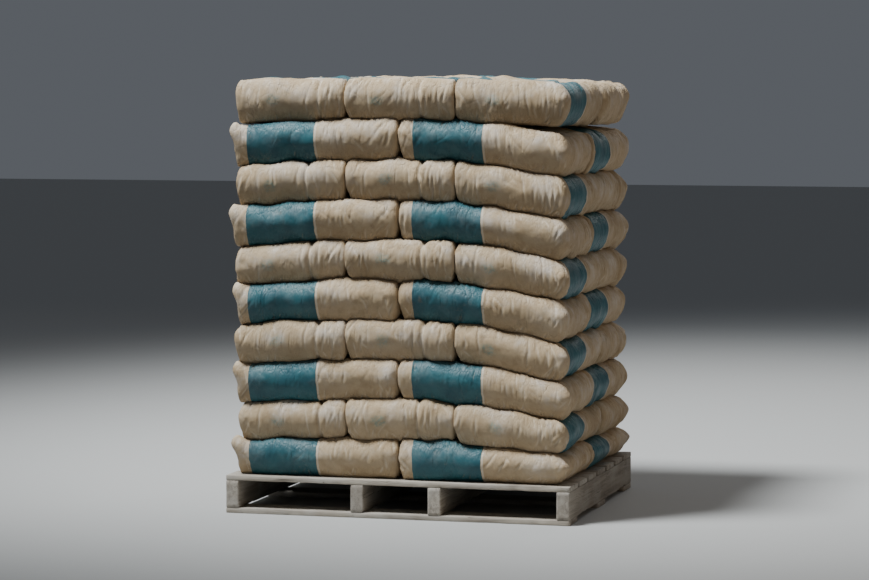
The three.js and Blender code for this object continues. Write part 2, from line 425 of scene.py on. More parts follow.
def simulate_sack(seed, pressure, growth, bending, free_top):
    """Lets a paper shell crumple under pressure. Returns how its sides and its top have moved."""
    half = LAYER_PITCH / 2 * SIM_START_HEIGHT
    length, width = SIM_SIZE
    sack = {"x0": -length / 2, "x1": length / 2, "y0": -width / 2, "y1": width / 2, "along_x": True}
    sack.update({side: "front" for side in SIDES})
    counts = [round(size / SIM_STEP) for size in SIM_SIZE] * 2
    columns = sum(counts)
    insets, heights, _ = side_profile(SIM_ROWS)
    grid = np.array([
        np.column_stack([outline(sack, inset, counts), np.full(columns, half * height)])
        for inset, height in zip(insets, heights)
    ])
    points = [grid.reshape(-1, 3)]
    faces = side_faces(SIM_ROWS + 1, columns)
    side_total = total = len(points[0])
    for sign, row in ((1, 0), (-1, SIM_ROWS)):
        inner = lattice_cap(grid[row], counts, lambda x, y: np.full(x.shape, sign * half)).reshape(-1, 3)
        faces += lattice_faces(ring_numbers(row, columns), counts, total, sign < 0)
        points.append(inner)
        total += len(inner)
    start = np.concatenate(points)
    dented = start.copy()
    for axis in (0, 1):
        for wavelength, size in SIM_DENTS:
            dented[:, axis] += size * soft_field(start, seed * 10 + axis, wavelength, 20)

    cloth = add_mesh("simulated_sack", dented.tolist(), faces)
    plates = [press_plate(way) for way in ((-1,) if free_top else (-1, 1))]
    modifier = cloth.modifiers.new("cloth", "CLOTH")
    for key, value in CLOTH.items():
        setattr(modifier.settings, key, value)
    modifier.settings.bending_stiffness = bending
    modifier.settings.uniform_pressure_force = pressure
    modifier.settings.shrink_min = -growth
    modifier.settings.effector_weights.gravity = FREE_TOP_GRAVITY if free_top else 0
    modifier.collision_settings.distance_min = 0.001
    modifier.point_cache.frame_start = 1
    modifier.point_cache.frame_end = SIM_FRAMES
    for frame_number in range(1, SIM_FRAMES + 1):
        bpy.context.scene.frame_set(frame_number)
    result = cloth.evaluated_get(bpy.context.evaluated_depsgraph_get()).data
    moved = np.empty(start.size)
    result.vertices.foreach_get("co", moved)
    for piece in [cloth] + plates:
        bpy.data.objects.remove(piece)
    bpy.context.scene.frame_set(1)

    shift = moved.reshape(-1, 3) - start
    shift[:, :2] -= shift[:, :2].mean(axis=0)
    side = shift[:side_total].reshape(grid.shape)
    normals, along = side_frame(grid)
    local = np.dstack([(side * normals).sum(axis=2), (side * along).sum(axis=2), side[..., 2]])
    local -= local.mean(axis=1, keepdims=True)
    top_shape = (counts[1] - 1, counts[0] - 1)
    top = shift[side_total:side_total + math.prod(top_shape), 2].reshape(top_shape)
    return {"side": SIM_CAP * np.tanh(local / SIM_CAP), "places": side_places(counts), "top": top}


def between(values, index):
    """Rows of an array at an index with fractions."""
    low = np.clip(np.floor(index).astype(int), 0, len(values) - 2)
    part = (index - low).reshape(-1, *[1] * (values.ndim - 1))
    return values[low] * (1 - part) + values[low + 1] * part


def sample_side(master, places, rows, shift, mirrored, upside_down):
    """The simulated movement at other places round a sack, as (normal, along, up)."""
    where = (1 - places if mirrored else places) + shift
    side = master["side"][::-1] * (1, 1, -1) if upside_down else master["side"]
    rings = between(side, np.arange(rows) / (rows - 1) * (len(side) - 1)).swapaxes(0, 1)
    index = np.interp(where % 4, np.append(master["places"], 4), np.arange(len(rings) + 1))
    found = between(np.concatenate([rings, rings[:1]]), index).swapaxes(0, 1)
    return found * (1, -1, 1) if mirrored else found


# Folds and bulges made in code

# Kinds of folds: half length, width and depth, each drawn between two values or fixed.
# The half length of a closure's folds is a share of half the side's height.
FOLDS = {
    "crimp": ((0.012, 0.036), (0.0032, 0.0050), (0.0007, 0.0030)),
    "slant": ((0.025, 0.06), (0.004, 0.006), (0.0006, 0.0020)),
    "corner": ((0.02, 0.05), (0.0035, 0.0055), (0.0012, 0.0038)),
    "closure": ((0.6, 1.1), 0.0045, (0.0014, 0.0040)),
    "pleat": ((0.020, 0.042), 0.0042, (0.0010, 0.0032)),
    "top": ((0.03, 0.09), (0.005, 0.008), (-0.0016, 0.0024)),
}
CRIMP_SPACING = 0.024
CLOSURE_DEPTHS = (0.0060, 0.0085)
# How far the groove of an end closure curves sideways towards the rims
CLOSURE_CURVE = 0.010
# A fold of this depth or more is fully whitened.
FULL_FOLD_DEPTH = 0.002
# Creases of the paper: wavelength, width in shares of the field, and depth
CREASES = ((0.10, 0.20, 0.0020), (0.055, 0.28, 0.0012))
DENT_LENGTH, DENT_SIZE = 0.15, 0.0022
# Paper that fills the notch between two sacks of the next layer
NOTCH_DEPTH = 0.007
NOTCH_WIDTH = 0.0085
NOTCH_FADE = 0.02
EAR_RISE = 0.016
TOP_FOLDS = 34
TOP_DENT_LENGTH, TOP_DENT_SIZE = 0.07, 0.0018


def notch_bulge(sacks, layer, points, seed):
    """How far paper fills the notches between the sacks of a neighbouring layer."""
    x, y = points[..., 0], points[..., 1]
    rng = np.random.default_rng(seed)
    bulge = np.zeros(x.shape)
    for sack in sacks:
        if sack["layer"] == layer and sack["right"] == "inner":
            within = smooth_step(1 - np.maximum(sack["y0"] - y, y - sack["y1"]) / NOTCH_FADE)
            bulge += rng.uniform(0.5, 1) * hump(x - sack["x1"], NOTCH_WIDTH) * within
        if sack["layer"] == layer and sack["back"] == "inner" and sack["column"] == "left":
            bulge += rng.uniform(0.5, 1) * hump(y - sack["y1"], NOTCH_WIDTH)
    return NOTCH_DEPTH * np.minimum(bulge, 1)


def creased(points, seed):
    """Relief of creased paper: sharp, mostly upright valleys where random fields are zero, in patches."""
    relief = 0
    upright = points * (1, 1, 0.45)
    for number, (length, width, depth) in enumerate(CREASES):
        field = soft_field(upright, seed * 3 + number, length)
        broken = smooth_step(soft_field(points, seed * 3 + 50 + number, 0.12) * 1.3 + 0.25)
        relief = relief - depth * broken * hump(field, width, 1)
    return relief


def draw_fold(rng, kind):
    """Half length, width and depth of a fold of that kind."""
    return [rng.uniform(*size) if isinstance(size, tuple) else size for size in FOLDS[kind]]


def along_and_off(x, y, angle):
    """Distances along a line through the origin at that angle, and off it."""
    return x * math.cos(angle) + y * math.sin(angle), y * math.cos(angle) - x * math.sin(angle)


def fold(s, v, perimeter, line):
    """A fold on the side: (movement along the normal, strength of the line)."""
    (at_s, at_v), angle, length, width, depth = line
    along, off = along_and_off(around(s, at_s, perimeter), v - at_v, angle)
    # A fold is never quite straight.
    off = off + 0.24 * width * np.sin(along * 90 + at_s * 400)
    groove = hump(off, width, 1.5) * taper(along / length)
    shoulder = hump(np.abs(off) - 1.9 * width, width) * taper(along / length)
    return depth * (0.45 * shoulder - groove), groove * min(1, abs(depth) / FULL_FOLD_DEPTH)


def end_closure(s, v, perimeter, half, at, depth):
    """The folded flap of a sack's end: a curved groove, and beyond it a lobe that stands out."""
    ds = around(s, at, perimeter) - CLOSURE_CURVE * (v / half) ** 2
    level = np.clip(1.15 - (v / half) ** 2, 0, 1)
    groove = hump(ds, 0.0055, 1.4)
    lobe = smooth_step((ds + 0.002) / 0.012) * hump(np.maximum(ds - 0.020, 0), 0.045)
    before = hump(ds + 0.013, 0.009)
    return depth * (0.75 * lobe + 0.25 * before) * level - depth * groove, groove


def side_folds(sack, starts, half):
    """Folds of a sack as (place, angle, half length, width, depth), and its closures as (place, depth)."""
    rng = random_draws("folds", sack["seed"])
    lines, closures = [], []

    def add(kind, place, degrees, longer=1, deeper=1):
        length, width, depth = draw_fold(rng, kind)
        lines.append((place, math.radians(degrees), length * longer, width, depth * deeper))

    for side in range(4):
        if sack[SIDES[side]] == "inner":
            continue
        start, end = starts[side], starts[side + 1]
        length = end - start
        is_end = (side in (1, 3)) == sack["along_x"]
        # Short crimps at the top and bottom edges
        for edge in (1, -1):
            for _ in range(round(length / CRIMP_SPACING)):
                place = (rng.uniform(start, end), edge * half * rng.uniform(0.55, 0.92))
                add("crimp", place, 90 + rng.normal(0, 20))
        # Slanting folds on the face
        for _ in range(2 if is_end else 4):
            place = (rng.uniform(start + 0.03, end - 0.03), rng.uniform(-0.5, 0.5) * half)
            add("slant", place, rng.choice([-1, 1]) * rng.uniform(35, 80))
        # Folds that gather at the upright corners
        for corner, way in ((start, 1), (end, -1)):
            for _ in range(4):
                place = (corner + way * rng.uniform(0.008, 0.055), rng.uniform(-0.8, 0.8) * half)
                add("corner", place, rng.choice([-1, 1]) * rng.uniform(45, 88))
        if is_end:
            # The closure of the sack's end. It is pressed flat on the last sack of a front row.
            closure = rng.uniform(0.64, 0.76)
            if (sack["row"], sack["column"]) != ("front", "right"):
                closures.append((start + closure * length, rng.uniform(*CLOSURE_DEPTHS)))
            for share in (closure - 0.09, closure + 0.08, closure + 0.14, closure + 0.19, 0.20):
                place = (start + (share + rng.normal(0, 0.015)) * length, rng.normal(0, 0.010))
                add("closure", place, 90 + rng.normal(0, 8), half)
        # A bundle of upright pleats, which fan out low down at the right, where the load presses most
        first = start + (rng.uniform(0.30, 0.80) if is_end else rng.uniform(0.52, 0.60)) * length
        fan = sack["layer"] == 1 and sack["column"] == "right"
        for number in range(rng.integers(5, 9)):
            lean = rng.choice([-1, 1]) * 48 if fan else 90
            place = (first + number * rng.uniform(0.011, 0.017), rng.uniform(-0.1, 0.5) * half)
            add("pleat", place, lean + rng.normal(0, 7), deeper=1.5 if fan else 1)
    return lines, closures


def corner_ears(sack, starts, s, v, perimeter, half):
    """The free corners of a sack's ends stick out in a soft point below the top edge.

    Returns how far they stand out and how far they rise beside the sack above.
    """
    rng = random_draws("ears", sack["seed"])
    push, rise = np.zeros(v.shape), np.zeros(v.shape)
    for corner in range(4):
        meeting = (SIDES[corner], SIDES[(corner + 1) % 4])
        if "inner" in (sack[meeting[0]], sack[meeting[1]]):
            continue
        ds = around(s, starts[corner + 1] % perimeter, perimeter)
        height = rng.uniform(0.15, 0.55) * half
        size = rng.uniform(0.006, 0.012)
        if "left" in meeting and sack["along_x"]:
            # The end's own corner, a pointed flap of paper
            push += (size + 0.014) * hump(ds, 0.026, 1.3) * hump(v - 0.52 * half, 0.020, 1.5)
            rise += EAR_RISE * hump(ds, 0.024, 1.5) * hump(v - 0.70 * half, 0.016)
        elif "left" in meeting:
            push += 0.3 * size * hump(ds, 0.030) * hump(v - height, 0.024)
        else:
            push += size * hump(ds, 0.030, 1.6) * hump(v - height, 0.024, 1.6)
            push -= 0.3 * size * hump(ds, 0.030) * hump(v + 0.5 * half, 0.030)
    return push, rise


def sack_side(sack, sacks, masters):
    """The side of a sack as a grid of rings, the strength of the folds and raised ears on it, and its mesh
    counts.
    """
    insets, heights, ways = side_profile(SIDE_ROWS)
    counts = side_counts(sack)
    plans = np.array([outline(sack, inset, counts) for inset in insets])
    layer = sack["layer"]
    top = face_height(layer, plans[..., 0], plans[..., 1], 1)
    bottom = face_height(layer, plans[..., 0], plans[..., 1], -1)
    up = heights[:, None]
    grid = np.dstack([plans, (top + bottom) / 2 + up * (top - bottom) / 2])
    normals, along = side_frame(grid)

    # Distance round the side and up it
    middle = grid[SIDE_ROWS // 2]
    steps = np.linalg.norm(np.roll(middle, -1, axis=0) - middle, axis=1)
    places = sums(steps)
    perimeter = places[-1]
    starts = places[sums(counts)]
    half = ways[-1] / 2
    s = np.broadcast_to(places[:-1], grid.shape[:2])
    v = np.broadcast_to((half - ways)[:, None], grid.shape[:2])

    push = soft_field(grid, SEEDS["dents"] + sack["seed"], DENT_LENGTH) * DENT_SIZE
    push = push + creased(grid, SEEDS["creases"] + sack["seed"])
    bulge = np.concatenate([np.full(count, BULGE[sack[side]]) for side, count in zip(SIDES, counts)])
    width = round(BULGE_BLEND / steps.mean())
    window = np.hanning(2 * width + 1)
    bulge = np.convolve(np.pad(bulge, width, mode="wrap"), window / window.sum(), mode="valid")
    push = push + bulge * hump(up - BULGE_HEIGHT, BULGE_SPREAD)
    lines, closures = side_folds(sack, starts, half)
    strength = np.zeros(grid.shape[:2])
    moves = [fold(s, v, perimeter, line) for line in lines]
    moves += [end_closure(s, v, perimeter, half, at, depth) for at, depth in closures]
    for moved, groove in moves:
        push = push + moved
        strength = np.maximum(strength, groove)
    ears, rise = corner_ears(sack, starts, s, v, perimeter, half)
    # The rising ears join the strength of the folds, so the colour paints them paler: partly whitened paper,
    # partly a painted highlight on the raised corners
    strength = np.maximum(strength, np.clip(rise / EAR_RISE, 0, 1) ** 2)
    # The rims keep their place.
    edge = smooth_step((1 - insets[:, None]) * 5)
    grid = grid + normals * ((push + ears) * edge)[..., None]
    grid[..., 2] += rise * edge

    # The simulated crumpling
    rng = random_draws("simulation", sack["seed"])
    if masters["pressed"]:
        master = masters["pressed"][rng.integers(0, len(masters["pressed"]))]
        shift = 2 * rng.integers(0, 2) + (0 if sack["along_x"] else 1)
        mirrored, upside_down = rng.random() < 0.5, rng.random() < 0.5
        found = sample_side(master, side_places(counts), len(insets), shift, mirrored, upside_down)
        found = found * edge[..., None] * SIM_SHARE
        grid = grid + normals * found[..., :1] + along * found[..., 1:2]
        grid[..., 2] += SIM_RISE_SHARE * found[..., 2]

    # The rims dip at a closure, and fill the notches above and below.
    above, below = np.clip(up, 0, 1), np.clip(-up, 0, 1)
    for at, depth in closures:
        dip = hump(around(s, at, perimeter) - CLOSURE_CURVE, 0.012) * depth
        grid[..., 2] -= dip * above ** 2 * 1.1 - dip * below ** 2 * 0.5
    grid[..., 2] += notch_bulge(sacks, layer + 1, grid, 7 * layer) * above ** 4
    if layer > 1:
        grid[..., 2] -= notch_bulge(sacks, layer - 1, grid, 7 * layer + 3) * below ** 4

    # A side against another sack stays in its own place.
    for side, axis, keep, limit in (("left", 0, np.maximum, "x0"), ("right", 0, np.minimum, "x1"),
                                    ("front", 1, np.maximum, "y0"), ("back", 1, np.minimum, "y1")):
        if sack[side] == "inner":
            grid[..., axis] = keep(grid[..., axis], sack[limit])
    return grid, strength, counts


def cap_rings(sack, rim, sign):
    """Rings of a hidden top (sign 1) or bottom (sign -1), from the rim in to the middle."""
    low, high = rim[:, :2].min(axis=0), rim[:, :2].max(axis=0)
    centre, reach = (low + high) / 2, (high - low) / 2
    insets = [CAP_RING_STEP * (number + 1) for number in range(CAP_RINGS)]
    room = reach.min() - insets[-1]
    insets += [insets[-1] + room * share for share in CAP_SHARES]
    rings = []
    for number, inset in enumerate(insets):
        skip = 2 ** max(0, number - CAP_RINGS + 1)
        plan = centre + (rim[::skip, :2] - centre) * (reach - inset) / reach
        rings.append(np.column_stack([plan, face_height(sack["layer"], plan[:, 0], plan[:, 1], sign)]))
    return rings


def top_relief(sack, points, masters):
    """How far the free top of an upper sack stands off its plain shape, and the strength of its folds."""
    rng = random_draws("top folds", sack["seed"])
    x, y = points[..., 0], points[..., 1]
    u = (x - sack["x0"]) / (sack["x1"] - sack["x0"])
    w = (y - sack["y0"]) / (sack["y1"] - sack["y0"])
    inside = smooth_step(8 * u) * smooth_step(8 * (1 - u)) * smooth_step(6 * w) * smooth_step(6 * (1 - w))
    height = TOP_DENT_SIZE * soft_field(points[..., :2], SEEDS["top dents"] + sack["seed"], TOP_DENT_LENGTH)
    strength = np.zeros(height.shape)
    for _ in range(TOP_FOLDS):
        dx, dy = x - rng.uniform(sack["x0"], sack["x1"]), y - rng.uniform(sack["y0"], sack["y1"])
        along, off = along_and_off(dx, dy, rng.uniform(0, math.pi))
        length, width, depth = draw_fold(rng, "top")
        groove = hump(off, width) * taper(along / length)
        height = height - depth * groove
        strength = np.maximum(strength, groove * min(1, abs(depth) / FULL_FOLD_DEPTH))
    if masters["free"]:
        picture = masters["free"][rng.integers(0, len(masters["free"]))]["top"]
        if not sack["along_x"]:
            picture = picture.T
        if rng.random() < 0.5:
            picture = picture[:, ::-1]
        if rng.random() < 0.5:
            picture = picture[::-1]
        i = np.clip(w, 0, 1) * (picture.shape[0] - 1.001)
        j = np.clip(u, 0, 1) * (picture.shape[1] - 1.001)
        i0, j0 = i.astype(int), j.astype(int)
        fi, fj = i - i0, j - j0
        found = (picture[i0, j0] * (1 - fj) + picture[i0, j0 + 1] * fj) * (1 - fi)
        found += (picture[i0 + 1, j0] * (1 - fj) + picture[i0 + 1, j0 + 1] * fj) * fi
        height = height + np.clip(found - np.median(picture), -TOP_DIP, TOP_CROWN)
    return height * inside, strength * inside


def sack_mesh_data(sack, sacks, masters):
    """Points, faces and strength of the folds of one sack as a closed mesh."""
    grid, lines, counts = sack_side(sack, sacks, masters)
    rows, columns = grid.shape[:2]
    points, strength = [grid.reshape(-1, 3)], [lines.ravel()]
    faces = side_faces(rows, columns)
    total = rows * columns
    layer = sack["layer"]
    for sign, row in ((1, 0), (-1, rows - 1)):
        rim = ring_numbers(row, columns)
        if layer == LAYER_COUNT and sign > 0:
            inner = lattice_cap(grid[row], counts, lambda x, y: face_height(layer, x, y, 1))
            relief, folded = top_relief(sack, inner, masters)
            inner[..., 2] += relief
            cap, folded = inner.reshape(-1, 3), folded.ravel()
            faces += lattice_faces(rim, counts, total, False)
        else:
            cap, more = close_rim(rim, cap_rings(sack, grid[row], sign), total, sign < 0)
            folded = np.zeros(len(cap))
            faces += more
        points.append(cap)
        strength.append(folded)
        total += len(cap)
    return np.concatenate(points), faces, np.concatenate(strength)


def make_sack(sack, sacks, masters, material):
    points, faces, strength = sack_mesh_data(sack, sacks, masters)
    piece = add_mesh(sack["node"] + "_paper", points.tolist(), faces, material, smooth=True)
    # Place on the sack itself: along it from the banded end, across it, and up from its middle.
    x, y = points[:, 0] - sack["x0"], points[:, 1] - sack["y0"]
    middle_x, middle_y = (sack["x1"] - sack["x0"]) / 2, (sack["y1"] - sack["y0"]) / 2
    z = points[:, 2] - (layer_top(sack["layer"], points[:, 0], points[:, 1]) - LAYER_PITCH / 2)
    slip = random_draws("print", sack["seed"]).uniform(-BAND_SLIP, BAND_SLIP)
    if sack["along_x"]:
        local = np.column_stack([x + slip, y - middle_y, z])
    else:
        slip += BACK_BAND_SHIFT if sack["row"] == "back" else 0
        local = np.column_stack([y + slip, middle_x - x, z])
    add_attribute(piece, "sack_place", local)
    add_attribute(piece, "fold", strength)
    add_attribute(piece, "sack_number", np.full(len(points), sack["seed"]))
    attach(piece, "root")
    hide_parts(sack["node"])


# Pallet

STRINGERS = ("stringer_left", "stringer_inner_left", "stringer_inner_right", "stringer_right")
BOTTOM_BOARDS = ("bottom_board_front", "bottom_board_middle", "bottom_board_back")
LEAD_BOARDS = ("deck_board_front", "deck_board_back")
MIDDLE_BOARD_COUNT = 5
MIDDLE_BOARD_WIDTH = 0.110
# Chips off the edges of planks: place along and across, reach along, depth
BOTTOM_CHIPS = ((0.33, -0.06, 0.035, 0.004), (-0.18, 0.06, 0.02, 0.003))
LEAD_CHIPS = {"deck_board_front": ((-0.30, -0.0625, 0.030, 0.004), (0.42, -0.0625, 0.018, 0.005)),
              "deck_board_back": ()}
CHIP_WIDTH = 0.012
# Mesh of the planks
PLANK_STEP = 0.012
SECTION_STEP = 0.009
END_RING = 0.002
END_SCALES = (0.75, 0.4)
# Wear of the planks: radius of the edges, what all edges lose and nicks in them, and their sawn ends
EDGE_RADII = (0.0012, 0.0028)
EDGE_ZONE = 0.004
EDGE_WEAR = 0.0004
NICK_DEPTH = 0.0045
# Wavelength and size of the unevenness of their faces
FACE_WEAR = ((0.05, 0.0004), (0.016, 0.00025))
END_WEAR = 0.0012
END_ROUGHNESS = 0.0004
# Nail heads: radius and height of each ring of points, and how far a nail may be off its place
NAIL_RINGS = ((0.0044, -0.0025), (0.0046, -0.0006), (0.0036, -0.0001), (0.0016, 0.0001))
NAIL_POINTS = 10
NAIL_SLIPS = (0.009, 0.008)


def plank_section(width, height, rng):
    """Points round a plank's section, with worn corners, anticlockwise."""
    radii = rng.uniform(*EDGE_RADII, 4)
    corners = [(1, -1), (1, 1), (-1, 1), (-1, -1)]
    arcs = []
    for number, ((sx, sz), r) in enumerate(zip(corners, radii)):
        middle = (sx * (width / 2 - r), sz * (height / 2 - r))
        angles = np.radians(-90 + 90 * number + 45 * np.arange(3))
        arcs.append(middle + r * np.column_stack([np.cos(angles), np.sin(angles)]))
    points = []
    for arc, following in zip(arcs, arcs[1:] + arcs[:1]):
        line = following[0] - arc[-1]
        cuts = max(2, round(np.linalg.norm(line) / SECTION_STEP))
        points += [arc, arc[-1] + line * (np.arange(1, cuts) / cuts)[:, None]]
    return np.concatenate(points)


def make_plank(name, node, box, along_x, seed, material, chips=()):
    """A sawn plank that fills a box, with worn edges and chipped places."""
    rng = np.random.default_rng(seed)
    low, high = np.array(box, float)
    size = high - low
    length, width = (size[0], size[1]) if along_x else (size[1], size[0])
    section = plank_section(width, size[2], rng)
    count = len(section)
    t = np.linspace(-0.5, 0.5, max(8, round(length / PLANK_STEP)) + 1)
    # The ends are worn too: one more ring close to each
    t = np.sort(np.concatenate([t, [-0.5 + END_RING / length, 0.5 - END_RING / length]]))
    flat = np.zeros((len(t), count, 3))
    flat[..., 0] = (t * length)[:, None]
    flat[..., 1:] = section
    # Wear: the edges more than the faces, and nicks in some places
    corner = (np.abs(section) > np.array([width, size[2]]) / 2 - EDGE_ZONE).all(axis=1)
    wear = sum(soft_field(flat, seed + number, wavelength) * amount
               for number, (wavelength, amount) in enumerate(FACE_WEAR))
    nick = np.clip(soft_field(flat, seed + 2, 0.06) - 0.45, 0, 1) * NICK_DEPTH
    inward = np.where(corner[None], EDGE_WEAR + nick, 0) + np.abs(wear)
    for at, across, reach, depth in chips:
        inward = inward + depth * hump(flat[..., 0] - at, reach, 4) * hump(flat[..., 1] - across, CHIP_WIDTH)
    grid = flat.copy()
    grid[..., 1:] -= unit(flat[..., 1:]) * inward[..., None]
    # The end rings are drawn in a little.
    for ring in (0, -1):
        grid[ring, :, 1:] *= 1 - END_WEAR / np.maximum(np.abs(grid[ring, :, 1:]), 5 * END_WEAR)

    points, places = [grid.reshape(-1, 3)], [flat.reshape(-1, 3)]
    faces = turned(side_faces(len(t), count))
    total = len(t) * count
    for ring, sign in ((0, -1), (len(t) - 1, 1)):
        loops = []
        for scale in END_SCALES:
            loop = grid[ring].copy()
            middle = loop[:, 1:].mean(axis=0)
            loop[:, 1:] = middle + (loop[:, 1:] - middle) * scale
            loop[:, 0] += sign * END_ROUGHNESS * soft_field(loop, seed + 5, 0.01)
            loops.append(loop)
        cap, more = close_rim(ring_numbers(ring, count), loops, total, sign < 0)
        points.append(cap)
        places.append(cap)
        faces += more
        total += len(cap)
    points, places = np.concatenate(points), np.concatenate(places)
    if not along_x:
        points = np.column_stack([-points[:, 1], points[:, 0], points[:, 2]])
    piece = add_mesh(name, (points + (low + high) / 2).tolist(), faces, material, smooth=True)
    add_attribute(piece, "plank_place", places)
    add_attribute(piece, "plank_number", np.full(len(places), seed))
    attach(piece, "root")
    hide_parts(node)


def middle_boards():
    """The boxes of the five boards that the solid deck_boards_middle stands for."""
    low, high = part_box("deck_boards_middle")
    pitch = (high[1] - low[1] - MIDDLE_BOARD_WIDTH) / (MIDDLE_BOARD_COUNT - 1)
    starts = [low[1] + number * pitch for number in range(MIDDLE_BOARD_COUNT)]
    return [((low[0], y, low[2]), (high[0], y + MIDDLE_BOARD_WIDTH, high[2])) for y in starts]


def make_pallet(material):
    for number, node in enumerate(STRINGERS):
        make_plank(node + "_wood", node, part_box(node), False, 101 + number, material)
    for number, node in enumerate(BOTTOM_BOARDS):
        make_plank(node + "_wood", node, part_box(node), True, 111 + number, material, BOTTOM_CHIPS)
    for number, node in enumerate(LEAD_BOARDS):
        make_plank(node + "_wood", node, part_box(node), True, 121 + number, material, LEAD_CHIPS[node])
    for number, box in enumerate(middle_boards()):
        name = f"deck_board_{number + 1}_wood"
        make_plank(name, "deck_boards_middle", box, True, 131 + number, material)


def make_nails(material):
    """Nail heads, two at each crossing of a board and a stringer, sunk a little into the wood."""
    rng = random_draws("nails", 0)
    turns = [2 * math.pi * step / NAIL_POINTS for step in range(NAIL_POINTS)]
    nail = np.array([(radius * math.cos(turn), radius * math.sin(turn), rise)
                     for radius, rise in NAIL_RINGS for turn in turns])
    lowest, highest = list(range(NAIL_POINTS)), list(range(len(nail) - NAIL_POINTS, len(nail)))
    nail_faces = turned(side_faces(len(NAIL_RINGS), NAIL_POINTS)) + [lowest[::-1], highest]
    boards = [(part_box(node), 1) for node in LEAD_BOARDS] + [(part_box(node), -1) for node in BOTTOM_BOARDS]
    boards += [(box, 1) for box in middle_boards()]
    points, faces = [], []
    for (board_low, board_high), side in boards:
        for stringer_low, stringer_high in map(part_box, STRINGERS):
            for share in (0.25, 0.75):
                x = (stringer_low[0] + stringer_high[0]) / 2 + rng.uniform(-NAIL_SLIPS[0], NAIL_SLIPS[0])
                y = board_low[1] + (board_high[1] - board_low[1]) * share
                y += rng.uniform(-NAIL_SLIPS[1], NAIL_SLIPS[1])
                z = board_high[2] if side > 0 else board_low[2]
                faces += [[len(points) + i for i in face] for face in turned(nail_faces, side < 0)]
                points += (nail * (1, 1, side) + (x, y, z)).tolist()
    piece = add_mesh("nail_heads", points, faces, material)
    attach(piece, "root")


# Materials

def srgb(red, green, blue):
    """A colour given in display values from 0 to 255, for a colour socket."""
    linear = [((c / 255 + 0.055) / 1.055) ** 2.4 if c > 10 else c / 255 / 12.92 for c in (red, green, blue)]
    return (*linear, 1)


class Nodes:
    """Short names for building a material's node tree."""

    def __init__(self, name):
        self.material = bpy.data.materials.new(name)
        self.material.use_nodes = True
        self.tree = self.material.node_tree
        self.shader = self.tree.nodes["Principled BSDF"]

    def put(self, socket, value):
        if isinstance(value, bpy.types.NodeSocket):
            self.tree.links.new(value, socket)
        else:
            socket.default_value = value

    def add(self, kind, inputs=(), **settings):
        node = self.tree.nodes.new("ShaderNode" + kind)
        for key, value in settings.items():
            setattr(node, key, value)
        for key, value in dict(inputs).items():
            self.put(node.inputs[key], value)
        return node

    def attribute(self, name, output="Fac"):
        return self.add("Attribute", attribute_name=name).outputs[output]

    def math(self, operation, a, b=0.0, clamp=False):
        return self.add("Math", {0: a, 1: b}, operation=operation, use_clamp=clamp).outputs[0]

    def times(self, a, b):
        return self.math("MULTIPLY", a, b)

    def plus(self, a, b):
        return self.math("ADD", a, b)

    def minus(self, a, b, clamp=False):
        return self.math("SUBTRACT", a, b, clamp)

    def square(self, value):
        return self.math("POWER", value, 2.0)

    def chance(self, number, factor):
        """A value from 0 to 1 that is different for each sack or plank."""
        return self.math("FRACT", self.times(number, factor))

    def off_middle(self, noise):
        """How far a noise is from its middle value, which makes thin winding lines where it is 0."""
        return self.math("ABSOLUTE", self.minus(noise, 0.5))

    def valley(self, distance, width):
        """1 at no distance, falling straight to 0 at the width: a crease with a sharp bottom."""
        return self.minus(1.0, self.math("DIVIDE", distance, width), True)

    def move(self, vector, shift):
        return self.add("VectorMath", {0: vector, 1: shift}, operation="ADD").outputs[0]

    def stretch(self, vector, factors):
        return self.add("VectorMath", {0: vector, 1: factors}, operation="MULTIPLY").outputs[0]

    def scale(self, vector, factor):
        return self.add("VectorMath", {0: vector, "Scale": factor}, operation="SCALE").outputs[0]

    def split(self, vector):
        return self.add("SeparateXYZ", {0: vector}).outputs[:3]

    def noise(self, vector, scale, detail=4.0, roughness=0.55, distortion=0.0, output=0):
        inputs = {"Vector": vector, "Scale": scale, "Detail": detail, "Roughness": roughness,
                  "Distortion": distortion}
        return self.add("TexNoise", inputs).outputs[output]

    def cell_edges(self, vector, scale):
        inputs = {"Vector": vector, "Scale": scale}
        return self.add("TexVoronoi", inputs, feature="DISTANCE_TO_EDGE").outputs["Distance"]

    def ramp(self, value, start, end, low=0.0, high=1.0):
        inputs = {"Value": value, "From Min": start, "From Max": end, "To Min": low, "To Max": high}
        return self.add("MapRange", inputs, interpolation_type="SMOOTHSTEP").outputs[0]

    def mix(self, factor, a, b):
        """A mix of two colours, each one a socket or three display values."""
        node = self.add("Mix", data_type="RGBA")
        for socket, value in zip((node.inputs[0], node.inputs[6], node.inputs[7]), (factor, a, b)):
            self.put(socket, srgb(*value) if isinstance(value, tuple) else value)
        return node.outputs[2]

    def bump(self, height, strength, distance, normal=None, invert=False):
        inputs = {"Height": height, "Strength": strength, "Distance": distance}
        node = self.add("Bump", inputs, invert=invert)
        if normal is not None:
            self.put(node.inputs["Normal"], normal)
        return node.outputs[0]

    def groove(self, depth, strength, distance, normal):
        return self.bump(depth, strength, distance, normal, True)

    def finish(self, colour, roughness, normal=None, **settings):
        """Sets the shader. A name in settings is a socket's, with _ for each space."""
        self.put(self.shader.inputs["Base Color"], colour)
        self.put(self.shader.inputs["Roughness"], roughness)
        if normal is not None:
            self.put(self.shader.inputs["Normal"], normal)
        for key, value in settings.items():
            self.put(self.shader.inputs[key.replace("_", " ")], value)
        return self.material


